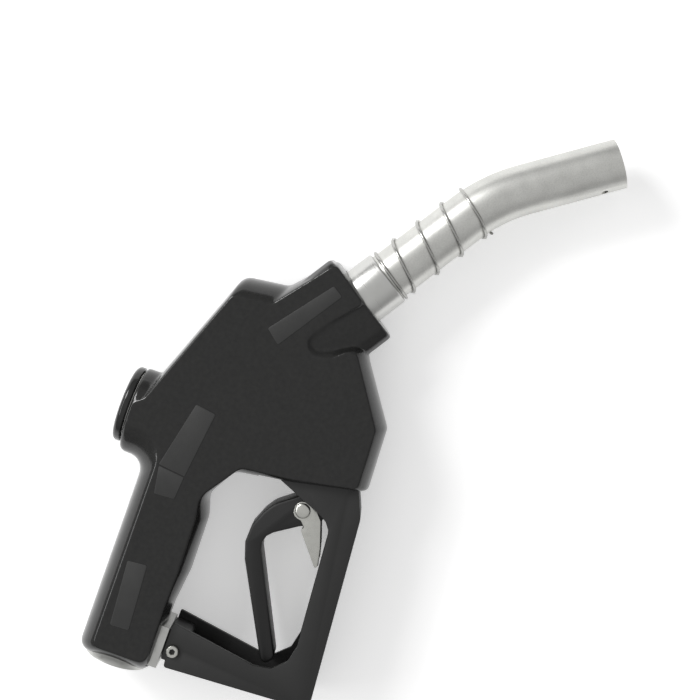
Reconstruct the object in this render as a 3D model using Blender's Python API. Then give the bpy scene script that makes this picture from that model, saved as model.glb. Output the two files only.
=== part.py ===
# High-flow automatic fuel nozzle, lying on its side.
# Origin: centre of the hose inlet face. +X runs up the grip, +Y to the valve cap, +Z across the body.
# Sizes are in millimetres and are turned into metres as each mesh is made.
import math

import bmesh
import bpy
from mathutils import Matrix, Vector

MM = 0.001
GAP = 0.3  # between touching pieces

# Driving dimensions
COVER_HALF = 22.5  # half the width across the cheeks
COVER_WALL = 2.7
COVER_EDGE = 5.0
GUARD_HALF = 16.2
PLATE = 2.6
LEVER_HALF = 10.0
CLIP_PLATE = 1.2
SPOUT_RADIUS = 14.3
SPOUT_WALL = 1.3
SPOUT_BEND_RADIUS = 95.0
ADAPTER_RADIUS = 16.5
ADAPTER_END = 18.7  # from the nose face
ANCHOR_WIRE = 0.9
ANCHOR_FIRST = 19.9  # from the nose face
ANCHOR_REACH = 61.6
ANCHOR_TURNS = 5.0
ANCHOR_CLOSED = 0.8  # closed turns at each end
ANCHOR_RISE = 2.0  # along the spout over one closed end
PIN_BORE = 2.3  # radius of every pin and screw hole
INLET_RADIUS = 15.5
INLET_RIM = 17.6
INLET_DEPTH = 28.0
VALVE_X = 137.0  # main valve axis, along Y
VALVE_BORE = 17.0
SEAT_Y = -8.0
STEM_END_Y = -69.6
TRIP_Y = -78.0  # trip stem axis, along X
LEVER_PIVOT = (148.0, TRIP_Y)
CLIP_PIVOT = (114.7, -71.6)
GUARD_SCREW = (18.3, -29.5)
GUARD_PIN = (142.0, -93.0)
SPOUT_START = Vector((237.0, -62.9, 0.0))  # where the spout leaves the nose
SPOUT_ANGLES = (math.radians(-33.2), math.radians(-55.4))
SPOUT_LEGS = (92.4, 74.5)  # nose to bend corner, bend corner to tip

# Outlines as (x, y, corner radius)
COVER_OUTLINE = [
    (0, -20.8, 4.5), (40, -20.8, 12), (60, -23.3, 20), (92, -22.9, 16), (104, -18.8, 9),
    (121, -28, 7), (136.2, -102.5, 1.5), (172.5, -101.2, 3.5), (204.5, -79.5, 2),
    (218, -87.5, 4), (252.3, -43.2, 4), (218.3, -15.6, 2.5), (218.3, 6.3, 4.5),
    (146, 33.8, 4), (141, 37.9, 3), (110.8, 37.9, 3), (110.8, 22.2, 8.5), (0, 22, 4.5),
]
GUARD_OUTLINE = [
    (147.5, -47, 1), (130.6, -47, 0), (113.3, -88.9, 12), (22.5, -95.2, 17), (33.2, -24.8, 0.8),
    (12.3, -24.8, 0.5), (12.3, -27.2, 0.5), (8.3, -27.6, 1.5), (12.6, -111.3, 6),
    (121.5, -103.3, 6), (137, -96.8, 2), (147.5, -96.8, 1),
]
GUARD_CHANNEL = [
    (11, -15, 0), (15.2, -108.4, 4), (120.8, -100.7, 5), (136.4, -94.2, 0), (152, -94.2, 0),
    (152, -15, 0),
]
LEVER_OUTLINE = [
    (24.6, -78.6, 3), (92.5, -42.2, 28), (112.5, -55.2, 14), (123.6, -70, 4), (147, -70, 0),
    (155.5, -70, 7), (155.5, -85.5, 7), (146, -85.5, 0), (118, -87, 6), (110.4, -82, 3),
    (105, -72.3, 0), (92.9, -53.6, 8.7), (31.5, -84, 3),
]
CLIP_OUTLINE = [
    (86.4, -88.6, 0.8), (103.6, -74.4, 0.5), (106.2, -75.4, 0.5), (109.2, -72.3, 0),
    (110.2, -66.6, 4), (119.8, -67, 4.5), (119.6, -76.5, 4), (112.5, -82.8, 4),
    (99, -87.3, 10), (89, -89.9, 1.2),
]


def clear_scene():
    for item in list(bpy.data.objects):
        bpy.data.objects.remove(item, do_unlink=True)


def material(name, colour, roughness, metallic):
    made = bpy.data.materials.new(name)
    made.use_nodes = True
    shader = made.node_tree.nodes["Principled BSDF"]
    shader.inputs["Base Color"].default_value = (*colour, 1.0)
    shader.inputs["Roughness"].default_value = roughness
    shader.inputs["Metallic"].default_value = metallic
    made.diffuse_color = (*colour, 1.0)
    return made


def finish(name, mesh, surface=None, origin=(0, 0, 0), smooth=True):
    """Makes the object from a bmesh in millimetres, with its origin at the given point."""
    bmesh.ops.recalc_face_normals(mesh, faces=mesh.faces)
    bmesh.ops.transform(mesh, matrix=Matrix.Translation(-Vector(origin)), verts=mesh.verts)
    bmesh.ops.scale(mesh, vec=(MM, MM, MM), verts=mesh.verts)
    data = bpy.data.meshes.new(name)
    mesh.to_mesh(data)
    mesh.free()
    if smooth:
        data.shade_smooth()
        data.set_sharp_from_angle(angle=math.radians(35))
    made = bpy.data.objects.new(name, data)
    made.location = Vector(origin) * MM
    bpy.context.collection.objects.link(made)
    if surface:
        data.materials.append(surface)
    return made


def guide(item):
    item.hide_render = True
    item.display_type = "WIRE"
    return item


def combine(target, tools, operation):
    """Applies all the tools in one exact Boolean, as a collection of guides."""
    group = bpy.data.collections.new(f"{target.name}_{operation.lower()}")
    for tool in tools:
        guide(tool)
        group.objects.link(tool)
    modifier = target.modifiers.new(group.name, "BOOLEAN")
    modifier.operation = operation
    modifier.operand_type = "COLLECTION"
    modifier.collection = group
    return target


def cut(target, *tools):
    return combine(target, tools, "DIFFERENCE")


def join(target, *tools):
    return combine(target, tools, "UNION")


# Outlines


def signed_area(corners):
    total = 0.0
    for (x0, y0, *_), (x1, y1, *_) in zip(corners, corners[1:] + corners[:1]):
        total += x0 * y1 - x1 * y0
    return total / 2


def inset(corners, distance):
    """The same outline moved inwards; outer radii shrink and inner radii grow."""
    if signed_area(corners) < 0:
        corners = corners[::-1]
    moved = []
    for i, (x, y, radius) in enumerate(corners):
        here = Vector((x, y))
        before = (here - Vector(corners[i - 1][:2])).normalized()
        after = (Vector(corners[(i + 1) % len(corners)][:2]) - here).normalized()
        normals = [Vector((-d.y, d.x)) for d in (before, after)]
        shift = (normals[0] + normals[1]) / (1 + normals[0].dot(normals[1]))
        turn = before.cross(after)
        if radius > 0:
            radius = max(radius - distance, 0.3) if turn > 0 else radius + distance
        place = here + shift * distance
        moved.append((place.x, place.y, radius))
    return moved


def rounded(corners, steps):
    points = []
    for i, (x, y, radius) in enumerate(corners):
        here = Vector((x, y))
        if radius <= 0:
            points.append(here)
            continue
        before = (Vector(corners[i - 1][:2]) - here).normalized()
        after = (Vector(corners[(i + 1) % len(corners)][:2]) - here).normalized()
        half = before.angle(after) / 2
        centre = here + (before + after).normalized() * radius / math.sin(half)
        start = here + before * radius / math.tan(half) - centre
        end = here + after * radius / math.tan(half) - centre
        first = math.atan2(start.y, start.x)
        sweep = math.atan2(start.cross(end), start.dot(end))
        for k in range(steps + 1):
            angle = first + sweep * k / steps
            points.append(centre + radius * Vector((math.cos(angle), math.sin(angle))))
    return points


# Solids


def skin_rings(mesh, rings, closed_ends=True, loop=False):
    """Bridges rings of equal length with quads, then caps or loops them."""
    count = len(rings[0])
    pairs = list(zip(rings, rings[1:]))
    if loop:
        pairs.append((rings[-1], rings[0]))
    for low, high in pairs:
        for i in range(count):
            j = (i + 1) % count
            mesh.faces.new((low[i], low[j], high[j], high[i]))
    if closed_ends and not loop:
        mesh.faces.new(rings[0][::-1])
        mesh.faces.new(rings[-1])


def slab(name, corners, low, high, surface=None, edge=0.0, steps=3, levels=3, origin=(0, 0, 0)):
    """An outline between two heights, its rims rounded to the edge radius."""
    if signed_area(corners) < 0:
        corners = corners[::-1]
    sections = [(0.0, low), (0.0, high)]
    if edge > 0:
        turns = [math.pi / 2 * k / levels for k in range(levels + 1)]
        rims = [(edge * (1 - math.sin(a)), edge * (1 - math.cos(a))) for a in turns]
        sections = [(inward, low + rise) for inward, rise in rims]
        sections += [(inward, high - rise) for inward, rise in reversed(rims)]
    mesh = bmesh.new()
    rings = []
    for inward, height in sections:
        outline = inset(corners, inward) if inward else corners
        rings.append([mesh.verts.new((p.x, p.y, height)) for p in rounded(outline, steps)])
    skin_rings(mesh, rings)
    return finish(name, mesh, surface, origin)


def block(name, low, high, surface=None):
    corners = [(low[0], low[1], 0), (high[0], low[1], 0), (high[0], high[1], 0), (low[0], high[1], 0)]
    return slab(name, corners, low[2], high[2], surface)


def turned(name, profile, base, direction, surface=None, segments=20):
    """Turns (radius, height) points round an axis; a profile off the axis makes a ring."""
    mesh = bmesh.new()
    rings = []
    for radius, height in profile:
        count = segments if radius > 0 else 1
        rings.append([
            mesh.verts.new((
                radius * math.cos(math.tau * i / segments),
                radius * math.sin(math.tau * i / segments),
                height,
            ))
            for i in range(count)
        ])
    solid = profile[0][0] == 0
    pairs = list(zip(rings, rings[1:]))
    if not solid:
        pairs.append((rings[-1], rings[0]))
    for low, high in pairs:
        for i in range(segments):
            j = (i + 1) % segments
            if len(low) == 1:
                mesh.faces.new((low[0], high[j], high[i]))
            elif len(high) == 1:
                mesh.faces.new((low[i], low[j], high[0]))
            else:
                mesh.faces.new((low[i], low[j], high[j], high[i]))
    turn = Vector((0, 0, 1)).rotation_difference(Vector(direction)).to_matrix().to_4x4()
    bmesh.ops.transform(mesh, matrix=Matrix.Translation(base) @ turn, verts=mesh.verts)
    return finish(name, mesh, surface, base)


def rod(name, radius, length, base, direction, surface=None, segments=20):
    return turned(
        name, [(0, 0), (radius, 0), (radius, length), (0, length)], base, direction, surface, segments
    )


def bar(name, radius, half, place, surface=None, segments=16):
    """A round bar along Z, centred on the mid-plane."""
    return rod(name, radius, 2 * half, (*place, -half), (0, 0, 1), surface, segments)


def hex_nut(name, flats, bore, thickness, base, direction, surface):
    nut = rod(name, flats / math.cos(math.pi / 6) / 2, thickness, base, direction, surface, 6)
    hole = rod(f"{name}_bore", bore, thickness + 4, Vector(base) - 2 * Vector(direction), direction)
    return cut(nut, hole)


def along_path(mesh, path, radius, sides):
    """Rings of a round section at each (point, tangent) of a path."""
    rings = []
    up = Vector((0, 0, 1))
    for point, tangent in path:
        side = tangent.cross(up).normalized()
        upright = side.cross(tangent).normalized()
        rings.append([
            mesh.verts.new(
                point + radius * (math.cos(a) * side + math.sin(a) * upright)
            )
            for a in (math.tau * i / sides for i in range(sides))
        ])
    return rings


def coil(name, centre_line, radius, turns, wire, surface, steps=12, sides=5, hand=1):
    """A wire wound round a centre line; centre_line(u) gives point and axis at turn u."""
    mesh = bmesh.new()
    count = int(turns * steps)
    points = []
    for k in range(count + 1):
        u = turns * k / count
        point, axis = centre_line(u)
        side = axis.cross(Vector((0, 0, 1)))
        if side.length < 1e-6:
            side = Vector((1, 0, 0))
        side.normalize()
        other = hand * axis.cross(side).normalized()
        angle = math.tau * u
        outward = math.cos(angle) * side + math.sin(angle) * other
        points.append((point + radius * outward, outward))
    rings = []
    for k, (point, outward) in enumerate(points):
        ahead = points[min(k + 1, count)][0] - points[max(k - 1, 0)][0]
        across = outward.cross(ahead.normalized()).normalized()
        rings.append([
            mesh.verts.new(point + wire * (math.cos(a) * outward + math.sin(a) * across))
            for a in (math.tau * i / sides for i in range(sides))
        ])
    skin_rings(mesh, rings)
    return finish(name, mesh, surface, centre_line(0)[0])


# Spout geometry


def direction(angle):
    return Vector((math.cos(angle), math.sin(angle), 0))


def spout_bend():
    """Where the bend starts and how long it is, measured from the nose face."""
    turn = SPOUT_ANGLES[0] - SPOUT_ANGLES[1]
    reach = SPOUT_BEND_RADIUS * math.tan(turn / 2)
    return SPOUT_LEGS[0] - reach, SPOUT_BEND_RADIUS * turn, reach


def spout_length():
    start, arc, reach = spout_bend()
    return start + arc + SPOUT_LEGS[1] - reach


def spout_point(distance):
    """Point and tangent on the spout's centre line, measured from the nose face."""
    first, second = (direction(a) for a in SPOUT_ANGLES)
    start, arc, reach = spout_bend()
    if distance <= start:
        return SPOUT_START + first * distance, first
    if distance >= start + arc:
        corner = SPOUT_START + first * SPOUT_LEGS[0]
        return corner + second * (reach + distance - start - arc), second
    tangent = direction(SPOUT_ANGLES[0] - (distance - start) / SPOUT_BEND_RADIUS)
    centre = SPOUT_START + first * start + Vector((first.y, -first.x, 0)) * SPOUT_BEND_RADIUS
    return centre + Vector((-tangent.y, tangent.x, 0)) * SPOUT_BEND_RADIUS, tangent


# Body


def outlet_passage(name):
    start = Vector((VALVE_X, -17.5, 0))
    end = spout_point(-32)[0]
    return rod(name, 9.5, (end - start).length, start, (end - start).normalized())


def make_cover(surface):
    cover = slab(
        "hand_insulator", COVER_OUTLINE, -COVER_HALF, COVER_HALF, surface, COVER_EDGE, steps=3, levels=3
    )
    shoulder = rod("cover_shoulder", 22.4, 20, (VALVE_X, 17.9, 0), (0, 1, 0), segments=32)
    join(cover, shoulder)
    half = COVER_HALF - COVER_WALL
    hollow = slab("cover_hollow", inset(COVER_OUTLINE, COVER_WALL), -half, half, edge=2.5, levels=2)
    cut(
        cover,
        hollow,
        rod("cover_inlet", INLET_RIM + GAP, 8, (-4, 0, 0), (1, 0, 0), segments=32),
        rod("cover_cap_hole", 20.0, 22, (VALVE_X, 20, 0), (0, 1, 0), segments=32),
        rod("cover_spout_hole", 17.6, 30, SPOUT_START - direction(SPOUT_ANGLES[0]) * 12,
            direction(SPOUT_ANGLES[0]), segments=32),
        block("cover_pocket", (118, -99.2, -GUARD_HALF - 0.6), (142, -41.8, GUARD_HALF + 0.6)),
        rod("cover_stem_hole", 10.9, 20, (VALVE_X, -50, 0), (0, 1, 0)),
        block("cover_lug_slot", (5.4, -26, -16.4), (31.6, -15, 16.4)),
    )


def make_casting(surface):
    half = COVER_HALF - COVER_WALL - GAP
    casting = slab(
        "body_casting", inset(COVER_OUTLINE, COVER_WALL + GAP), -half, half, surface, edge=2.5, levels=2
    )
    axis = direction(SPOUT_ANGLES[0])
    join(
        casting,
        rod("casting_inlet_rim", INLET_RIM, 10, (0, 0, 0), (1, 0, 0), segments=32),
        rod("casting_cap_boss", 19.6, 16, (VALVE_X, 21.9, 0), (0, 1, 0), segments=32),
        rod("casting_nose_rim", 17.3, 14, SPOUT_START - axis * 13.7, axis, segments=32),
        block("casting_lug_foot", (6, -23, -16), (31, -14, 16)),
        slab("casting_lug", [(13, -36.5, 3), (28.5, -36.5, 3), (30, -20, 0), (12, -20, 0)], -13.2, 13.2),
    )
    cut(
        casting,
        rod("inlet_bore", INLET_RADIUS, INLET_DEPTH + 5, (-5, 0, 0), (1, 0, 0), segments=32),
        rod("inlet_passage", 8.0, VALVE_X - 20, (20, 0.8, 0), (1, 0, 0)),
        rod("valve_chamber", VALVE_BORE, 60, (VALVE_X, SEAT_Y, 0), (0, 1, 0), segments=32),
        rod("valve_throat", 11.5, 25, (VALVE_X, -26, 0), (0, 1, 0)),
        rod("stem_bore", 3.4, 30, (VALVE_X, -50, 0), (0, 1, 0)),
        rod("gland_bore", 7.0, 24, (VALVE_X, -60, 0), (0, 1, 0)),
        outlet_passage("outlet_passage"),
        rod("spout_socket", ADAPTER_RADIUS + GAP, 40, spout_point(-32)[0], axis, segments=32),
        block("guard_pocket", (118, -99.2, -GUARD_HALF - GAP), (148, -42.2, GUARD_HALF + GAP)),
        block("lever_pocket", (140, -90, -13.2), (160, -64, 13.2)),
        rod("shutoff_chamber", 13.0, 28, (150, TRIP_Y, 0), (1, 0, 0), segments=32),
        bar("guard_pin_bore", PIN_BORE, 30, GUARD_PIN),
        bar("guard_screw_bore", PIN_BORE, 30, GUARD_SCREW),
    )


def make_valve(steel, rubber, black, brass):
    turned(
        "valve_cap",
        [
            (0, 27), (16.7, 27), (16.7, 38.2), (21.6, 38.2), (21.6, 40.9), (20.9, 42.3),
            (19.3, 43), (0, 43),
        ],
        (VALVE_X, 0, 0), (0, 1, 0), black, 36,
    )
    turned(
        "main_poppet",
        [
            (0, STEM_END_Y), (3, STEM_END_Y), (3, -7.7), (5, -7.7), (5, -5.4), (14.5, -5.4),
            (14.5, -2.5), (6, -1), (6, 4), (0, 4),
        ],
        (VALVE_X, 0, 0), (0, 1, 0), brass,
    )
    turned(
        "poppet_seal", [(5.3, -7.7), (14.5, -7.7), (14.5, -5.7), (5.3, -5.7)],
        (VALVE_X, 0, 0), (0, 1, 0), rubber,
    )
    coil_between("main_spring", (VALVE_X, -1.1, 0), (0, 1, 0), 26.6, 11.0, 1.2, 5, steel)
    turned(
        "stem_packing", [(3.3, -41.9), (6.7, -41.9), (6.7, -36.3), (3.3, -36.3)],
        (VALVE_X, 0, 0), (0, 1, 0), rubber, 24,
    )
    hex_nut("packing_nut", 17.5, 3.3, 4, (VALVE_X, -46.5, 0), (0, 1, 0), steel)


def coil_between(name, base, axis, length, radius, wire, turns, surface):
    """A straight compression spring that fills the length along its axis."""
    base, axis = Vector(base), Vector(axis)

    def centre_line(u):
        return base + axis * (wire + (length - 2 * wire) * u / turns), axis

    coil(name, centre_line, radius, turns, wire, surface)


def make_shutoff(steel, rubber, aluminium):
    base = (0, TRIP_Y, 0)
    along = (1, 0, 0)
    turned(
        "shutoff_retainer", [(4.4, 160.4), (12.7, 160.4), (12.7, 161.8), (4.4, 161.8)],
        base, along, aluminium,
    )
    turned(
        "diaphragm", [(6.4, 162.1), (12.7, 162.1), (12.7, 163.1), (6.4, 163.1)], base, along, rubber
    )
    stem = turned(
        "trip_stem", [(0, 141.8), (4, 141.8), (4, 166), (6, 166), (6, 168), (0, 168)],
        base, along, steel,
    )
    cut(stem, bar("trip_stem_bore", PIN_BORE, 8, LEVER_PIVOT))
    coil_between("diaphragm_spring", (168.3, TRIP_Y, 0), along, 9.4, 8.5, 0.8, 3, steel)


# Lever and guard


def make_guard(black, steel):
    guard = slab("lever_guard", GUARD_OUTLINE, -GUARD_HALF, GUARD_HALF, black)
    inner = GUARD_HALF - PLATE
    cut(
        guard,
        slab("guard_channel", GUARD_CHANNEL, -inner, inner),
        bar("guard_screw_hole", PIN_BORE, 30, GUARD_SCREW),
        bar("guard_pin_hole", PIN_BORE, 30, GUARD_PIN),
    )
    head = GUARD_HALF + GAP
    screw = turned(
        "guard_screw",
        [
            (0, -head - 3), (2, -head - 3), (2, head), (3.5, head), (3.5, head + 1), (3, head + 1.6),
            (0, head + 1.6),
        ],
        (*GUARD_SCREW, 0), (0, 0, 1), steel, 24,
    )
    cut(screw, rod("screw_socket", 1.6, 4, (*GUARD_SCREW, head + 0.3), (0, 0, 1), segments=6))
    hex_nut("guard_nut", 7, PIN_BORE, 2.6, (*GUARD_SCREW, -head - 2.6), (0, 0, 1), steel)
    bar("guard_pin", 2.0, COVER_HALF - COVER_WALL - GAP, GUARD_PIN, steel)
    slab(
        "hold_open_rack",
        [
            (58, -104.6, 0), (94, -102.0, 0), (94, -98.9, 0), (86, -99.5, 0), (84, -97.5, 0),
            (76, -100.2, 0), (74, -98.2, 0), (66, -100.9, 0), (64, -98.9, 0), (58, -101.4, 0),
        ],
        -9, 9, steel,
    )


def make_lever(black, steel):
    lever = slab(
        "hand_lever", LEVER_OUTLINE, -LEVER_HALF, LEVER_HALF, black, edge=1.5, levels=2,
        origin=(*LEVER_PIVOT, 0),
    )
    cut(
        lever,
        block("lever_slot", (139, -95, -4.4), (160, -60, 4.4)),
        bar("lever_pin_bore", PIN_BORE, 20, LEVER_PIVOT),
        bar("lever_rivet_bore", 2.5, 20, CLIP_PIVOT),
        block("clip_spring_slot", (109.5, -95, -3.2), (120, -66.4, 3.2)),
    )
    bar("lever_pin", 2.0, 9.8, LEVER_PIVOT, steel)


def make_clip(steel):
    inner = LEVER_HALF + GAP
    outer = inner + CLIP_PLATE
    clip = slab("hold_open_clip", CLIP_OUTLINE, -outer, outer, steel, origin=(*CLIP_PIVOT, 0))
    cut(
        clip,
        slab(
            "clip_channel",
            [(88.6, -88.6, 0), (104.6, -75.5, 0), (104, -60, 0), (125, -60, 0), (125, -95, 0), (88, -95, 0)],
            -inner, inner,
        ),
        bar("clip_rivet_hole", 2.5, 20, CLIP_PIVOT),
    )
    head = outer + GAP
    turned(
        "clip_rivet",
        [
            (0, -head - 1.1), (3.2, -head - 1.1), (4.4, -head), (2.2, -head), (2.2, head),
            (4.4, head), (4.2, head + 0.6), (3.2, head + 1.2), (0, head + 1.3),
        ],
        (*CLIP_PIVOT, 0), (0, 0, 1), steel, 24,
    )
    coil_between("clip_spring", (*CLIP_PIVOT, -2.4), (0, 0, 1), 4.8, 3.2, 0.4, 3, steel)


# Spout


def make_spout(aluminium, steel, rubber, black):
    axis = direction(SPOUT_ANGLES[0])
    inner = SPOUT_RADIUS + GAP
    turned(
        "spout_adapter",
        [
            (13.2, -31.7), (ADAPTER_RADIUS, -31.7), (ADAPTER_RADIUS, ADAPTER_END - 0.8),
            (ADAPTER_RADIUS - 0.8, ADAPTER_END), (inner, ADAPTER_END), (inner, -11.8), (13.2, -11.8),
        ],
        SPOUT_START, axis, aluminium, 40,
    )
    length = spout_length()
    start, arc, _ = spout_bend()
    stations = [-9.7, *(start + arc * k / 7 for k in range(8)), length]
    mesh = bmesh.new()
    path = [spout_point(s) for s in stations]
    outside = along_path(mesh, path, SPOUT_RADIUS, 32)
    inside = along_path(mesh, path, SPOUT_RADIUS - SPOUT_WALL, 32)
    skin_rings(mesh, outside + inside[::-1], loop=True)
    tube = finish("spout_tube", mesh, aluminium, SPOUT_START)
    vent_place, vent_axis = spout_point(length - 12.9)
    side = Vector((vent_axis.y, -vent_axis.x, 0))
    outward = math.cos(math.radians(20)) * side + math.sin(math.radians(20)) * Vector((0, 0, 1))
    cut(tube, rod("vent_hole", 1.9, 8, vent_place + outward * 10.5, outward, segments=20))
    make_anchor_spring(steel)
    make_check_valve(steel, rubber, black)
    make_air_tube(aluminium)


def make_anchor_spring(steel):
    open_turns = ANCHOR_TURNS - 2 * ANCHOR_CLOSED
    spread = ANCHOR_REACH - 2 * ANCHOR_RISE

    def centre_line(u):
        left = ANCHOR_TURNS - u
        if u < ANCHOR_CLOSED:
            place = ANCHOR_RISE * u / ANCHOR_CLOSED
        elif left < ANCHOR_CLOSED:
            place = ANCHOR_REACH - ANCHOR_RISE * left / ANCHOR_CLOSED
        else:
            place = ANCHOR_RISE + spread * (u - ANCHOR_CLOSED) / open_turns
        return spout_point(ANCHOR_FIRST + place)

    radius = SPOUT_RADIUS + GAP + ANCHOR_WIRE
    coil("anchor_spring", centre_line, radius, ANCHOR_TURNS, ANCHOR_WIRE, steel, steps=20, hand=-1)


def make_check_valve(steel, rubber, black):
    """The check poppet at the mouth of the outlet passage, with its guide, spring and seal."""
    axis = direction(SPOUT_ANGLES[0])
    seat = SPOUT_START + axis * -31.7
    turned(
        "check_poppet", [(0, 0.3), (10.5, 0.3), (8, 4), (2.2, 5), (2.2, 14.5), (0, 14.5)],
        seat, axis, black,
    )
    coil_between("check_spring", seat + axis * 5.3, axis, 12.5, 6.5, 0.7, 4, steel)
    guide_plate = turned(
        "check_guide", [(2.6, 18.1), (13, 18.1), (13, 19.6), (2.6, 19.6)], seat, axis, black
    )
    side = Vector((-axis.y, axis.x, 0))
    holes = []
    for k in range(4):
        angle = math.pi / 4 + math.pi / 2 * k
        place = seat + 8.2 * (math.cos(angle) * side + math.sin(angle) * Vector((0, 0, 1)))
        holes.append(rod(f"check_guide_hole_{k}", 3.2, 8, place + axis * 15, axis, segments=12))
    cut(guide_plate, *holes)
    turned(
        "spout_seal", [(13.3, -11.5), (14.3, -11.5), (14.3, -10), (13.3, -10)],
        SPOUT_START, axis, rubber,
    )


def make_air_tube(aluminium):
    """The thin line from the vent hole back along the inside of the spout."""
    radius = 2.0
    offset = SPOUT_RADIUS - SPOUT_WALL - radius - GAP
    start, arc, _ = spout_bend()
    path = []
    for s in (0, *(start + arc * k / 6 for k in range(7)), spout_length() - 9):
        point, tangent = spout_point(s)
        path.append((point + offset * Vector((tangent.y, -tangent.x, 0)), tangent))
    mesh = bmesh.new()
    skin_rings(mesh, along_path(mesh, path, radius, 10))
    finish("air_tube", mesh, aluminium, SPOUT_START)


def main():
    clear_scene()
    vinyl = material("black_vinyl", (0.018, 0.018, 0.019), 0.28, 0.0)
    cast = material("cast_aluminium", (0.60, 0.60, 0.58), 0.45, 1.0)
    bright = material("satin_aluminium", (0.72, 0.72, 0.70), 0.30, 1.0)
    steel = material("plated_steel", (0.62, 0.62, 0.60), 0.25, 1.0)
    coated = material("black_coating", (0.035, 0.035, 0.036), 0.60, 0.0)
    rubber = material("black_rubber", (0.02, 0.02, 0.02), 0.80, 0.0)
    brass = material("brass", (0.70, 0.52, 0.25), 0.35, 1.0)
    make_cover(vinyl)
    make_casting(cast)
    make_valve(steel, rubber, vinyl, brass)
    make_shutoff(steel, rubber, cast)
    make_guard(coated, steel)
    make_lever(coated, steel)
    make_clip(steel)
    make_spout(bright, steel, rubber, coated)


main()
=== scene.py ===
import math
import bmesh
import bpy
from mathutils import Matrix, Vector


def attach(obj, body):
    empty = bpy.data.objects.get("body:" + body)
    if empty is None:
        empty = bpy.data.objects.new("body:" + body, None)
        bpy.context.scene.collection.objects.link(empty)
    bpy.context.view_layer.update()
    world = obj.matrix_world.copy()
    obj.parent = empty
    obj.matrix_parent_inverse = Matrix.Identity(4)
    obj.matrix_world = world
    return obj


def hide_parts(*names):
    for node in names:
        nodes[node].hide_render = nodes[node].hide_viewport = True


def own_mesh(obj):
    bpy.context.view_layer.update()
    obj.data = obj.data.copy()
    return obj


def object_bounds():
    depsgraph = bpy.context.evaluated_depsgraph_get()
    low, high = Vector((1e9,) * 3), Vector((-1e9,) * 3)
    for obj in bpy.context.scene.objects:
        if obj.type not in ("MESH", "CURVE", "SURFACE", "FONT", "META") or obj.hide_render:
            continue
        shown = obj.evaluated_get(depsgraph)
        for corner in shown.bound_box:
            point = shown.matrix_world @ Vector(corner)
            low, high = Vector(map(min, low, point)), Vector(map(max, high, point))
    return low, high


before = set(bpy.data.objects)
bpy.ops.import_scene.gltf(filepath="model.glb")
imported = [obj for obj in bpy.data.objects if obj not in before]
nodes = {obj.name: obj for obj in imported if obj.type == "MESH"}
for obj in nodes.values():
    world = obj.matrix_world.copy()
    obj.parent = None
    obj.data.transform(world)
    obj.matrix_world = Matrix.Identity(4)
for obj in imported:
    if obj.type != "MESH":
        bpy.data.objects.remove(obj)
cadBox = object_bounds()
mm = 0.001  # one millimetre in metres
print("frame loaded")


class Wire:
    # wraps a node output so that maths on it reads as maths
    def __init__(self, finish, end):
        self.finish = finish
        self.end = end

    def maths(self, operation, other, swapped=False):
        first, second = (other, self) if swapped else (self, other)
        return self.finish.add("ShaderNodeMath", {"operation": operation}, {0: first, 1: second})

    def __add__(self, other):
        return self.maths("ADD", other)

    def __radd__(self, other):
        return self.maths("ADD", other, True)

    def __sub__(self, other):
        return self.maths("SUBTRACT", other)

    def __rsub__(self, other):
        return self.maths("SUBTRACT", other, True)

    def __mul__(self, other):
        return self.maths("MULTIPLY", other)

    def __rmul__(self, other):
        return self.maths("MULTIPLY", other, True)

    def __truediv__(self, other):
        return self.maths("DIVIDE", other)

    def __pow__(self, other):
        return self.maths("POWER", other)


class Finish:
    def __init__(self, name, colour, roughness, metallic=0.0, **shader):
        self.material = bpy.data.materials.new(name)
        self.material.use_nodes = True
        self.tree = self.material.node_tree
        self.shader = self.tree.nodes["Principled BSDF"]
        self.set("Base Color", (*colour, 1.0))
        self.set("Roughness", roughness)
        self.set("Metallic", metallic)
        for socket, value in shader.items():
            self.set(socket.replace("_", " "), value)

    def set(self, socket, value):
        self.feed(self.shader.inputs[socket], value)

    def feed(self, socket, value):
        if isinstance(value, Wire):
            self.tree.links.new(value.end, socket)
        else:
            socket.default_value = value

    def add(self, kind, settings=None, sockets=None, output=0):
        node = self.tree.nodes.new(kind)
        for key, value in (settings or {}).items():
            if key == "stops":
                ramp = node.color_ramp
                for index, (place, shade) in enumerate(value):
                    stop = ramp.elements[index] if index < 2 else ramp.elements.new(place)
                    stop.position = place
                    stop.color = (shade, shade, shade, 1.0)
            else:
                setattr(node, key, value)
        for key, value in (sockets or {}).items():
            self.feed(node.inputs[key], value)
        return Wire(self, node.outputs[output])

    def place(self):
        return self.add("ShaderNodeTexCoord", output="Object")

    def stretched(self, angle=0.0, scale=(1, 1, 1)):
        turned = {"Vector": self.place(), "Rotation": (0, 0, angle)}
        flat = self.add("ShaderNodeMapping", {"vector_type": "TEXTURE"}, turned)
        return self.add("ShaderNodeVectorMath", {"operation": "MULTIPLY"}, {0: flat, 1: scale})

    def noise(self, scale, detail=3.0, vector=None, rough=0.5):
        sockets = {"Vector": vector or self.place(), "Scale": scale, "Detail": detail, "Roughness": rough}
        return self.add("ShaderNodeTexNoise", {}, sockets)

    def ramp(self, value, *stops):
        return self.add("ShaderNodeValToRGB", {"stops": stops}, {"Fac": value})

    def mix(self, factor, first, second):
        node = self.tree.nodes.new("ShaderNodeMix")
        node.data_type = "RGBA"
        self.feed(node.inputs["Factor"], factor)
        for key, colour in (("A", first), ("B", second)):
            socket = next(s for s in node.inputs if s.name == key and s.type == "RGBA")
            self.feed(socket, colour if isinstance(colour, Wire) else (*colour, 1.0))
        return Wire(self, next(s for s in node.outputs if s.type == "RGBA"))

    def bump(self, height, strength, distance):
        sockets = {"Height": height, "Strength": strength, "Distance": distance}
        self.set("Normal", self.add("ShaderNodeBump", {}, sockets))


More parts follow.
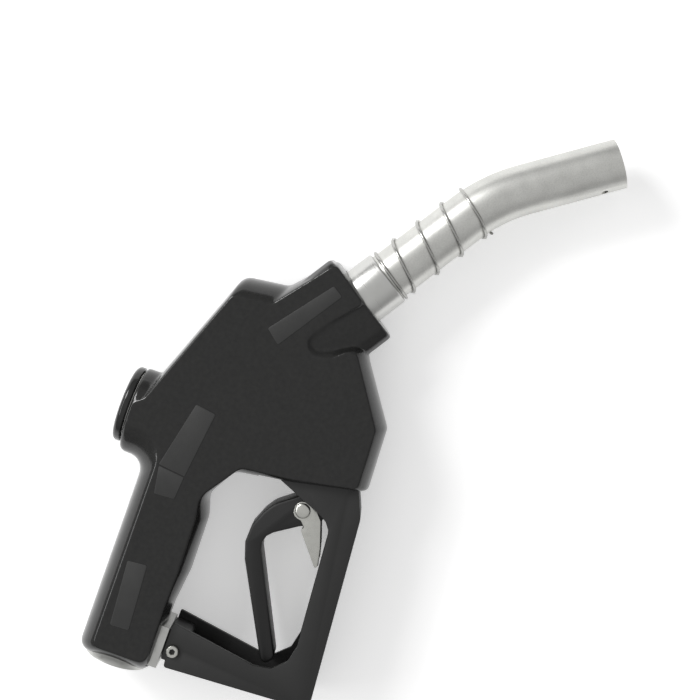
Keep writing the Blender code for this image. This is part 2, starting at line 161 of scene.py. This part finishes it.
def vinylFinish(name="blackVinyl"):
    # dip-moulded vinyl: glossy skin with a soft pebble and a few scuffs
    look = Finish(name, (0.006, 0.006, 0.0065), 0.2, Coat_Roughness=0.08, IOR=1.38)
    pebble = look.noise(900, 2)
    cloud = look.noise(60, 4)
    scuff = look.ramp(look.noise(220, 6, rough=0.7), (0.60, 0.0), (0.74, 1.0))
    look.set("Base Color", look.mix(look.noise(420, 4), (0.008, 0.008, 0.008), (0.021, 0.021, 0.020)))
    look.set("Roughness", 0.14 + 0.10 * cloud + 0.12 * scuff)
    look.set("Coat Weight", 0.16 - 0.12 * scuff)
    look.bump(pebble * 0.6 + cloud * 0.4, 0.12, 0.0004)
    return look.material


def powderFinish(name, dark, light, roughness):
    # powder coat: an even orange peel with fine grit
    look = Finish(name, dark, roughness)
    peel = look.noise(1400, 3)
    wear = look.noise(90, 5, rough=0.65)
    look.set("Base Color", look.mix(wear, dark, light))
    look.set("Roughness", roughness + 0.14 * (wear - 0.5) + 0.06 * peel)
    look.bump(peel, 0.22, 0.0003)
    return look.material


def drawnFinish(name, colour, angle=0.0, roughness=0.34, speckle=0.5):
    # satin metal with long drawing lines and a fine speckle
    look = Finish(name, colour, roughness, 1.0)
    lines = look.noise(60, 4, look.stretched(angle, (1.0, 40.0, 40.0)))
    grit = look.noise(1500, 2)
    cloud = look.noise(70, 3)
    dim = tuple(0.80 * c for c in colour)
    patches = look.ramp(cloud * 0.5 + grit * 0.5, (0.35, 0.0), (0.65, 1.0))
    look.set("Base Color", look.mix(patches, dim, colour))
    look.set("Roughness", roughness - 0.05 + 0.12 * lines + 0.10 * grit * speckle)
    look.bump(lines * 0.5 + grit * speckle, 0.10, 0.0003)
    return look.material


def turnedFinish(name, colour, origin, axis, roughness=0.26):
    # machined metal: rings around the axis
    look = Finish(name, colour, roughness, 1.0)
    turn = axis.rotation_difference(Vector((1, 0, 0))).to_euler()
    shift = {"Vector": look.place(), "Location": tuple(-origin)}
    moved = look.add("ShaderNodeMapping", {"vector_type": "POINT"}, shift)
    spun = look.add("ShaderNodeMapping", {"vector_type": "POINT"}, {"Vector": moved, "Rotation": tuple(turn)})
    rings = look.noise(1800, 2, look.add(
        "ShaderNodeVectorMath", {"operation": "MULTIPLY"}, {0: spun, 1: (1.0, 0.002, 0.002)}))
    cloud = look.noise(110, 4)
    look.set("Base Color", look.mix(cloud, tuple(0.84 * c for c in colour), colour))
    look.set("Roughness", roughness - 0.06 + 0.14 * rings + 0.06 * cloud)
    look.bump(rings, 0.16, 0.0002)
    return look.material


def castFinish(name="castMetal"):
    look = Finish(name, (0.62, 0.62, 0.60), 0.42, 1.0)
    grain = look.noise(700, 5, rough=0.6)
    cloud = look.noise(80, 3)
    look.set("Base Color", look.mix(cloud, (0.50, 0.50, 0.48), (0.72, 0.72, 0.70)))
    look.set("Roughness", 0.34 + 0.2 * grain)
    look.bump(grain, 0.35, 0.0004)
    return look.material


def zincFinish(name="zincPlate", colour=(0.66, 0.66, 0.62), roughness=0.24):
    look = Finish(name, colour, roughness, 1.0)
    cloud = look.noise(260, 4, rough=0.6)
    fine = look.noise(2200, 2)
    look.set("Base Color", look.mix(cloud, tuple(0.78 * c for c in colour), colour))
    look.set("Roughness", roughness - 0.06 + 0.16 * cloud + 0.05 * fine)
    look.bump(fine, 0.08, 0.0002)
    return look.material


def rubberFinish(name="blackRubber", colour=(0.02, 0.02, 0.02)):
    look = Finish(name, colour, 0.75)
    grain = look.noise(1200, 3)
    look.set("Roughness", 0.66 + 0.16 * grain)
    look.set("Base Color", look.mix(grain, tuple(0.7 * c for c in colour), tuple(1.3 * c for c in colour)))
    look.bump(grain, 0.2, 0.0003)
    return look.material


spoutAngle = math.radians(-33.2)
spoutAxis = Vector((math.cos(spoutAngle), math.sin(spoutAngle), 0))
noseFace = Vector((237.0, -62.9, 0)) * mm
valveX = 137.0

vinyl = vinylFinish()
padVinyl = powderFinish("padVinyl", (0.020, 0.020, 0.020), (0.036, 0.036, 0.035), 0.42)
guardPaint = powderFinish("guardPaint", (0.012, 0.012, 0.012), (0.020, 0.020, 0.0195), 0.50)
leverPaint = powderFinish("leverPaint", (0.003, 0.003, 0.003), (0.006, 0.006, 0.006), 0.45)
tubeMetal = drawnFinish("spoutMetal", (0.71, 0.71, 0.68), spoutAngle, speckle=0.8)
ringMetal = turnedFinish("adapterMetal", (0.66, 0.66, 0.64), noseFace, spoutAxis)
castMetal = castFinish()
zinc = zincFinish()
springWire = zincFinish("springWire", (0.50, 0.50, 0.48), 0.2)
rubber = rubberFinish()
acetal = rubberFinish("blackAcetal", (0.03, 0.03, 0.032))
brass = turnedFinish("turnedBrass", (0.72, 0.54, 0.28), Vector((valveX * mm, 0, 0)), Vector((0, 1, 0)))
print("finishes made")



def nothingSelected():
    if bpy.context.object and bpy.context.object.mode != "OBJECT":
        bpy.ops.object.mode_set(mode="OBJECT")
    bpy.ops.object.select_all(action="DESELECT")


def onlySelected(*pieces):
    nothingSelected()
    for piece in pieces:
        piece.select_set(True)
    bpy.context.view_layer.objects.active = pieces[0]


def applyModifier(piece, kind, **settings):
    onlySelected(piece)
    modifier = piece.modifiers.new(kind.lower(), kind)
    for key, value in settings.items():
        setattr(modifier, key, value)
    bpy.ops.object.modifier_apply(modifier=modifier.name)
    return piece


def insetCorners(corners, distance):
    moved = []
    for i, (x, y, radius) in enumerate(corners):
        here = Vector((x, y))
        before = (here - Vector(corners[i - 1][:2])).normalized()
        after = (Vector(corners[(i + 1) % len(corners)][:2]) - here).normalized()
        normals = [Vector((-d.y, d.x)) for d in (before, after)]
        place = here + (normals[0] + normals[1]) / (1 + normals[0].dot(normals[1])) * distance
        if radius > 0:
            radius = max(radius - distance, 0.3) if before.cross(after) > 0 else radius + distance
        moved.append((place.x, place.y, radius))
    return moved


def roundedOutline(corners, steps):
    points = []
    for i, (x, y, radius) in enumerate(corners):
        here = Vector((x, y))
        if radius <= 0:
            points.append(here)
            continue
        before = (Vector(corners[i - 1][:2]) - here).normalized()
        after = (Vector(corners[(i + 1) % len(corners)][:2]) - here).normalized()
        half = before.angle(after) / 2
        centre = here + (before + after).normalized() * radius / math.sin(half)
        start = here + before * radius / math.tan(half) - centre
        end = here + after * radius / math.tan(half) - centre
        first = math.atan2(start.y, start.x)
        sweep = math.atan2(start.cross(end), start.dot(end))
        for k in range(steps + 1):
            angle = first + sweep * k / steps
            points.append(centre + radius * Vector((math.cos(angle), math.sin(angle))))
    return points


def extrudeRings(name, rings):
    # a filled circle is moved onto the first ring, then extruded from ring to ring
    nothingSelected()
    bpy.ops.mesh.primitive_circle_add(vertices=len(rings[0]), radius=1, fill_type="NGON")
    piece = bpy.context.object
    piece.name = name
    for vertex, place in zip(piece.data.vertices, rings[0]):
        vertex.co = place
    bpy.ops.object.mode_set(mode="EDIT")
    bpy.ops.mesh.select_all(action="SELECT")
    for below, above in zip(rings, rings[1:]):
        came = {tuple(round(c, 7) for c in place): k for k, place in enumerate(below)}
        bpy.ops.mesh.extrude_region_move()
        sheet = bmesh.from_edit_mesh(piece.data)
        for vertex in sheet.verts:
            if vertex.select:
                vertex.co = above[came[tuple(round(c, 7) for c in vertex.co)]]
        bmesh.update_edit_mesh(piece.data)
    bpy.ops.mesh.select_all(action="SELECT")
    bpy.ops.mesh.normals_make_consistent(inside=False)
    bpy.ops.object.mode_set(mode="OBJECT")
    return piece


def outlineSlab(name, corners, low, high, steps=6, rim=0.0, rimSteps=3):
    levels = [(0.0, low), (0.0, high)]
    if rim:
        turns = [math.pi / 2 * k / rimSteps for k in range(rimSteps + 1)]
        curve = [(rim * (1 - math.sin(a)), rim * (1 - math.cos(a))) for a in turns]
        levels = [(inward, low + rise) for inward, rise in curve]
        levels += [(inward, high - rise) for inward, rise in reversed(curve)]
    rings = []
    for inward, height in levels:
        outline = roundedOutline(insetCorners(corners, inward) if inward else corners, steps)
        rings.append([Vector((p.x, p.y, height)) * mm for p in outline])
    return extrudeRings(name, rings)


def turnPiece(name, profile, base, axis, segments=64):
    # rings of (radius, height) in mm round an axis, closed by flat ends
    turn = Vector((0, 0, 1)).rotation_difference(axis).to_matrix()
    angles = [math.tau * k / segments for k in range(segments)]
    rings = [[
        base + turn @ Vector((r * math.cos(a), r * math.sin(a), h)) * mm for a in angles
    ] for r, h in profile]
    return extrudeRings(name, rings)


def roundBar(name, radius, low, high, base, axis, segments=48):
    return turnPiece(name, [(radius, low), (radius, high)], base, axis, segments)


def combine(target, operation, *tools):
    group = bpy.data.collections.new("tools")
    for tool in tools:
        group.objects.link(tool)
    applyModifier(target, "BOOLEAN", operation=operation, operand_type="COLLECTION", collection=group,
                  use_self=False)
    for tool in tools:
        bpy.data.objects.remove(tool)
    bpy.data.collections.remove(group)
    return target


def combineSolid(target, operation, *tools):
    # the manifold solver copes with the dense core
    for tool in tools:
        applyModifier(target, "BOOLEAN", operation=operation, object=tool, solver="MANIFOLD")
        bpy.data.objects.remove(tool)
    return target


def duplicate(piece, name):
    copy = piece.copy()
    copy.data = piece.data.copy()
    copy.name = name
    bpy.context.scene.collection.objects.link(copy)
    return copy


def smoothShade(piece, angle=35):
    onlySelected(piece)
    bpy.ops.object.shade_smooth_by_angle(angle=math.radians(angle))
    return piece


def dress(piece, material, body, slot, *stands):
    piece.data.materials.clear()
    piece.data.materials.append(material)
    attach(piece, body)
    if stands:
        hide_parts(*stands)
    return piece


cover = {
    "half": 22.2,  # half width across the cheeks
    "wall": 2.7,
    "voxel": 0.82,
    "hollowVoxel": 2.0,
    "coreGap": 0.35,  # from the hollow to the core that trims the casting
    "crown": 0.9,  # how far the sides bulge between the cheeks
    "smoothing": 8,
    "pocketHalf": 16.8,
    "slotHalf": 16.4,
}
# each line: silhouette x, y, radius, then the cheek edge x, y, radius
coverEdges = [
    (0, -20.8, 6, 8.5, -18.0, 5), (40, -20.8, 12, 40, -17.6, 10),
    (60, -23.3, 20, 60, -18.0, 16), (92, -22.9, 16, 92, -17.2, 16),
    (104, -18.8, 9, 105, -15.5, 12), (121.5, -28, 7, 128.0, -32.0, 6),
    (126.5, -60, 1, 130.8, -60, 1), (136.2, -102.5, 2, 137.4, -95.5, 3),
    (172.5, -101.2, 5, 171.2, -94.2, 7), (204.5, -79.5, 3, 203.0, -73.6, 5),
    (214.5, -74.0, 6, 211.5, -68.0, 6), (212.0, -60.0, 6, 200.0, -58.5, 9),
    (208.0, -49.0, 5, 198.0, -47.5, 8), (209.0, -47.0, 2, 204.8, -41.8, 6),
    (216.0, -52.0, 5, 214.4, -46.6, 8), (236.8, -67.5, 0, 234.4, -64.6, 0),
    (252.3, -43.2, 3, 250.4, -43.6, 3), (229.6, -22.5, 6, 217.3, -17.0, 4),
    (226.4, 3.0, 7, 215.6, 4.6, 5), (146, 33.8, 4, 146.6, 30.8, 4),
    (141, 37.6, 3, 141, 36.8, 2), (110.8, 37.6, 4, 129.4, 36.8, 3),
    (110.8, 22.2, 8.5, 129.4, 12.9, 16), (0, 22, 6, 8.5, 12.7, 4),
]


def crownedSlab():
    half, bulge, levels = cover["half"], cover["crown"], 12
    rim = math.sqrt(1 - bulge * bulge)
    sides = roundedOutline([edge[:3] for edge in coverEdges], 8)
    cheek = roundedOutline([edge[3:] for edge in coverEdges], 8)
    if len(sides) != len(cheek):
        raise ValueError("the two outlines need the same corners")
    rings = []
    for k in range(2 * levels + 1):
        height = -1 + k / levels
        reach = (math.sqrt(1 - (bulge * height) ** 2) - rim) / (1 - rim)
        rings.append([
            Vector((*(c + (s - c) * reach), half * height)) * mm for s, c in zip(sides, cheek)
        ])
    return extrudeRings("coverSlab", rings)


def noseBlock():
    # the lower half of the nose falls away in two facets
    section = [
        (27.6, 0), (27.6, 15), (25.5, 20.5), (20, 22.1), (0.5, 22.1), (-1.8, 20.9),
        (-12, 18.2), (-20, 15.6), (-25.5, 12), (-27.6, 7), (-27.6, 0),
    ]
    section += [(y, -z) for y, z in section[-2:0:-1]]
    side = Vector((-spoutAxis.y, spoutAxis.x, 0))
    # how far behind the nose face each ring lies, and its size
    stations = [(-58, 0.80), (-46, 0.93), (-34, 0.985), (-12, 1.0), (-1.6, 1.0), (-0.4, 0.985), (0, 0.955)]
    rings = []
    for along, size in stations:
        rings.append([
            noseFace + (spoutAxis * along + side * y * size + Vector((0, 0, z * size))) * mm
            for y, z in section
        ])
    return extrudeRings("noseBlock", rings)


def capShoulder():
    profile = [(22.2, -18), (22.2, 36.2), (21.8, 37.2), (21.0, 37.6)]
    return turnPiece("capShoulder", profile, Vector((valveX, 0, 0)) * mm, Vector((0, 1, 0)), 72)


def coverSolid(name, voxel):
    parts = [crownedSlab(), noseBlock(), capShoulder()]
    onlySelected(*parts)
    bpy.ops.object.join()
    piece = bpy.context.object
    piece.name = name
    applyModifier(piece, "REMESH", mode="VOXEL", voxel_size=voxel * mm, adaptivity=0.0)
    applyModifier(piece, "SMOOTH", factor=0.5, iterations=cover["smoothing"])
    return piece


def buildCover():
    outer = coverSolid("coverSkin", cover["voxel"])
    inner = coverSolid("coverHollow", cover["hollowVoxel"])
    applyModifier(inner, "DISPLACE", strength=-cover["wall"] * mm, mid_level=0.0)
    core = duplicate(inner, "coreShape")
    applyModifier(core, "DISPLACE", strength=-cover["coreGap"] * mm, mid_level=0.0)
    origin = Vector((0, 0, 0))
    base = Vector((valveX, 0, 0)) * mm
    pocket = [(118, -98.4, 0), (141, -98.4, 0), (141, -41.8, 0), (118, -41.8, 0)]
    lugSlot = [(5.4, -27, 0), (31.6, -27, 0), (31.6, -15, 0), (5.4, -15, 0)]
    combine(
        outer, "DIFFERENCE", inner,
        roundBar("inletHole", 17.9, -6, 6, origin, Vector((1, 0, 0))),
        roundBar("capHole", 20.0, 30, 44, base, Vector((0, 1, 0))),
        roundBar("spoutHole", 17.6, -9, 12, noseFace, spoutAxis),
        outlineSlab("pocket", pocket, -cover["pocketHalf"], cover["pocketHalf"]),
        outlineSlab("lugSlot", lugSlot, -cover["slotHalf"], cover["slotHalf"]),
    )
    smoothShade(outer, 40)
    dress(outer, vinyl, "body", "black_vinyl", "hand_insulator")
    return core


core = buildCover()
print("cover made")

lug = {"half": 16.0, "screw": (18.3, -29.5), "hole": 2.3}


def nodeCopy(node, name):
    # the node's mesh as a new piece with its place in the mesh and its corners merged
    piece = duplicate(nodes[node], name)
    piece.parent = None
    piece.matrix_world = nodes[node].matrix_world
    onlySelected(piece)
    bpy.ops.object.transform_apply(location=True, rotation=True, scale=True)
    bpy.ops.object.mode_set(mode="EDIT")
    bpy.ops.mesh.select_all(action="SELECT")
    bpy.ops.mesh.remove_doubles(threshold=0.000005)
    bpy.ops.mesh.dissolve_limited(angle_limit=math.radians(0.3))
    bpy.ops.object.mode_set(mode="OBJECT")
    return piece


def buildCasting(core):
    casting = nodeCopy("body_casting", "castBody")
    base = Vector((valveX, 0, 0)) * mm
    keep = [
        roundBar("inletKeep", 17.75, -1, 14, Vector((0, 0, 0)), Vector((1, 0, 0))),
        roundBar("capKeep", 19.7, 20, 39, base, Vector((0, 1, 0))),
        roundBar("noseKeep", 17.4, -16, 1.5, noseFace, spoutAxis),
    ]
    combineSolid(core, "UNION", *keep)
    combineSolid(casting, "INTERSECT", core)
    print("casting faces", len(casting.data.polygons))
    dress(smoothShade(casting, 35), castMetal, "body", "cast_aluminium", "body_casting")


def buildLug():
    half = lug["half"]
    foot = outlineSlab(
        "lugFoot", [(6.2, -24.0, 0.6), (29.6, -24.0, 0.6), (29.6, -17.5, 0.6), (6.2, -17.5, 0.6)],
        -half, half, 3, 0.5, 2,
    )
    tongue = outlineSlab(
        "lugTongue", [(13, -36.3, 3), (28.0, -36.3, 3), (28.6, -24.3, 0), (12.3, -24.3, 0)],
        3 - half, half - 3,
    )
    place = Vector((*lug["screw"], 0)) * mm
    combine(tongue, "DIFFERENCE", roundBar("lugHole", lug["hole"], -half, half, place, Vector((0, 0, 1))))
    dress(smoothShade(foot, 35), castMetal, "body", "cast_aluminium")
    # the tongue between the guard plates gets the dark guard paint, darker than the metal foot
    dress(smoothShade(tongue, 35), guardPaint, "body", "black_coating")


buildCasting(core)
buildLug()
print("casting made")

pads = {"rise": 0.28, "rim": 0.15, "sunk": 0.5}
padOutlines = {
    "nosePad": [(204.8, -20.0, 1), (238.7, -46.5, 1), (234.6, -52.6, 1), (198.1, -28.2, 1)],
    "bodyPad": [(152.3, 3.0, 1), (150.6, -8.8, 1), (112.9, -4.0, 0.6), (114.6, 11.5, 0.6)],
    "gripPad": [(113.8, 11.2, 0.6), (112.2, -3.9, 0.6), (99.3, -2.8, 0.8), (98.5, 8.6, 0.8)],
    "labelPad": [(22.5, 7.4, 1), (59.0, 10.0, 1), (60.0, -1.0, 1), (23.0, -3.2, 1)],
}


def buildPads():
    high = cover["half"] + pads["rise"]
    low = cover["half"] - pads["sunk"]
    made = []
    for name, corners in padOutlines.items():
        for side in (1, -1):
            pad = outlineSlab(name, corners[::-side], low, high, 3, pads["rim"], 2)
            if side < 0:
                for vertex in pad.data.vertices:
                    vertex.co.z = -vertex.co.z
            made.append(pad)
    onlySelected(*made)
    bpy.ops.object.join()
    plates = bpy.context.object
    plates.name = "cheekPads"
    bpy.ops.object.mode_set(mode="EDIT")
    bpy.ops.mesh.select_all(action="SELECT")
    bpy.ops.mesh.normals_make_consistent(inside=False)
    bpy.ops.object.mode_set(mode="OBJECT")
    dress(smoothShade(plates, 30), padVinyl, "body", "black_vinyl")


buildPads()
print("pads made")



def refined(node, name, material, body, slot, width=0.0, segments=2, angle=40):
    # a copy of the node with softened edges and smooth shading
    piece = nodeCopy(node, name)
    if width:
        applyModifier(piece, "BEVEL", width=width * mm, segments=segments, limit_method="ANGLE",
                      angle_limit=math.radians(30), use_clamp_overlap=True)
    smoothShade(piece, angle)
    return dress(piece, material, body, slot, node)


refined("lever_guard", "guardFrame", guardPaint, "body", "black_coating", 0.45)
refined("hand_lever", "squeezeLever", leverPaint, "lever", "black_coating", 0.7, 3)
refined("hold_open_clip", "holdClip", zinc, "clip", "plated_steel", 0.2)
refined("clip_rivet", "clipRivet", zinc, "lever", "plated_steel", 0.5, 3)
guardScrew = refined("guard_screw", "guardScrew", zinc, "body", "plated_steel", 0.12)
refined("spout_adapter", "adapterSleeve", ringMetal, "body", "satin_aluminium", 0.3)
refined("spout_tube", "spoutPipe", tubeMetal, "body", "satin_aluminium")
refined("anchor_spring", "anchorCoil", springWire, "body", "plated_steel", angle=60)
refined("valve_cap", "topCap", vinyl, "body", "black_vinyl", 0.8, 3)

# the screw's hexagon socket, with a black disc at its bottom as painted shade
socket = {"radius": 1.8, "bottom": 16.7, "floor": 16.9, "top": 19.0}
screwPlace = Vector((*lug["screw"], 0)) * mm
upward = Vector((0, 0, 1))
combineSolid(
    guardScrew, "DIFFERENCE",
    roundBar("socketCut", socket["radius"], socket["bottom"], socket["top"], screwPlace, upward, 6),
)
# painted shade: a black disc on the socket's bottom stands in for the shade deep in the hole
socketShade = roundBar(
    "socketShade", socket["radius"] - 0.1, socket["bottom"], socket["floor"], screwPlace, upward, 6,
)
dress(socketShade, leverPaint, "body", "black_coating")

mainSpring = refined("main_spring", "mainSpring", springWire, "body", "plated_steel", angle=60)
checkSpring = refined("check_spring", "checkSpring", springWire, "body", "plated_steel", angle=60)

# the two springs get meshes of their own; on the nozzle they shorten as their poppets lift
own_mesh(mainSpring)
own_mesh(checkSpring)

plainNodes = {
    "main_poppet": brass, "poppet_seal": rubber, "stem_packing": rubber,
    "packing_nut": zinc, "shutoff_retainer": castMetal, "diaphragm": rubber, "diaphragm_spring": springWire,
    "trip_stem": zinc, "lever_pin": zinc, "guard_nut": zinc, "guard_pin": zinc, "hold_open_rack": zinc,
    "clip_spring": springWire, "air_tube": tubeMetal, "spout_seal": rubber, "check_poppet": acetal,
    "check_guide": acetal,
}
for name, material in plainNodes.items():
    nodes[name].data.materials.clear()
    nodes[name].data.materials.append(material)
print("small pieces made")

room = {
    "floorSize": 6.0,
    "floorMiddle": (0.15, -0.05, 0),
    "floorGap": 0.0004,
    "cameraHeight": 0.820,
    "foot": (0.2728, -0.0670),  # the point straight below the camera
    "up": (0.943, 0.334, 0),
    "shift": (-0.057, -0.157),
    "lens": 74.75,
    "sensor": 36,
    "glow": 0.62,
    "floorGlow": 0.36,
    "lit": (0.18, -0.06, 0),  # where both lights point
    "keyPower": 12,
    "stripPower": 5,
}


def buildRoom():
    nothingSelected()
    bpy.ops.mesh.primitive_plane_add(size=room["floorSize"], location=room["floorMiddle"])
    floor = bpy.context.object
    floor.name = "floor"
    floor.location.z = cadBox[0][2] - room["floorGap"]
    bpy.ops.object.transform_apply(location=True)
    pale = Finish("paleFloor", (0.93, 0.93, 0.93), 0.9, Emission_Strength=room["floorGlow"])
    pale.set("Emission Color", (1, 1, 1, 1))
    floor.data.materials.append(pale.material)
    world = bpy.data.worlds.new("studio")
    bpy.context.scene.world = world
    world.use_nodes = True
    # the room is brightest straight above
    tree = world.node_tree
    facing = tree.nodes.new("ShaderNodeTexCoord")
    parts = tree.nodes.new("ShaderNodeSeparateXYZ")
    shade = tree.nodes.new("ShaderNodeValToRGB")
    shade.color_ramp.elements[0].position = 0.15
    shade.color_ramp.elements[0].color = (0.5, 0.5, 0.5, 1.0)
    shade.color_ramp.elements[1].position = 0.80
    shade.color_ramp.elements[1].color = (1.0, 1.0, 1.0, 1.0)
    tree.links.new(facing.outputs["Generated"], parts.inputs[0])
    tree.links.new(parts.outputs["Z"], shade.inputs["Fac"])
    tree.links.new(shade.outputs["Color"], tree.nodes["Background"].inputs["Color"])
    tree.nodes["Background"].inputs["Strength"].default_value = room["glow"]


def areaLight(name, place, target, size, power):
    light = bpy.data.lights.new(name, "AREA")
    light.energy = power
    light.shape = "RECTANGLE"
    light.size, light.size_y = size
    lamp = bpy.data.objects.new(name, light)
    lamp.location = place
    lamp.rotation_euler = (Vector(target) - Vector(place)).to_track_quat("-Z", "Y").to_euler()
    bpy.context.scene.collection.objects.link(lamp)


def buildCamera():
    camera = bpy.data.objects.new("camera", bpy.data.cameras.new("camera"))
    camera.data.lens = room["lens"]
    camera.data.sensor_width = room["sensor"]
    place = Vector((*room["foot"], room["cameraHeight"]))
    camera.data.shift_x, camera.data.shift_y = room["shift"]
    back = Vector((0, 0, 1))
    up = Vector(room["up"])
    right = up.cross(back).normalized()
    upright = back.cross(right)
    turn = Matrix((right, upright, back)).transposed()
    camera.matrix_world = Matrix.Translation(place) @ turn.to_4x4()
    bpy.context.scene.collection.objects.link(camera)
    bpy.context.scene.camera = camera


buildRoom()
areaLight("keyLight", (0.72, 1.05, 0.80), room["lit"], (0.5, 0.5), room["keyPower"])
areaLight("stripLight", (-0.05, 1.15, 0.75), room["lit"], (1.1, 0.25), room["stripPower"])
buildCamera()
bpy.context.scene.view_settings.view_transform = "Standard"
print("room ready")
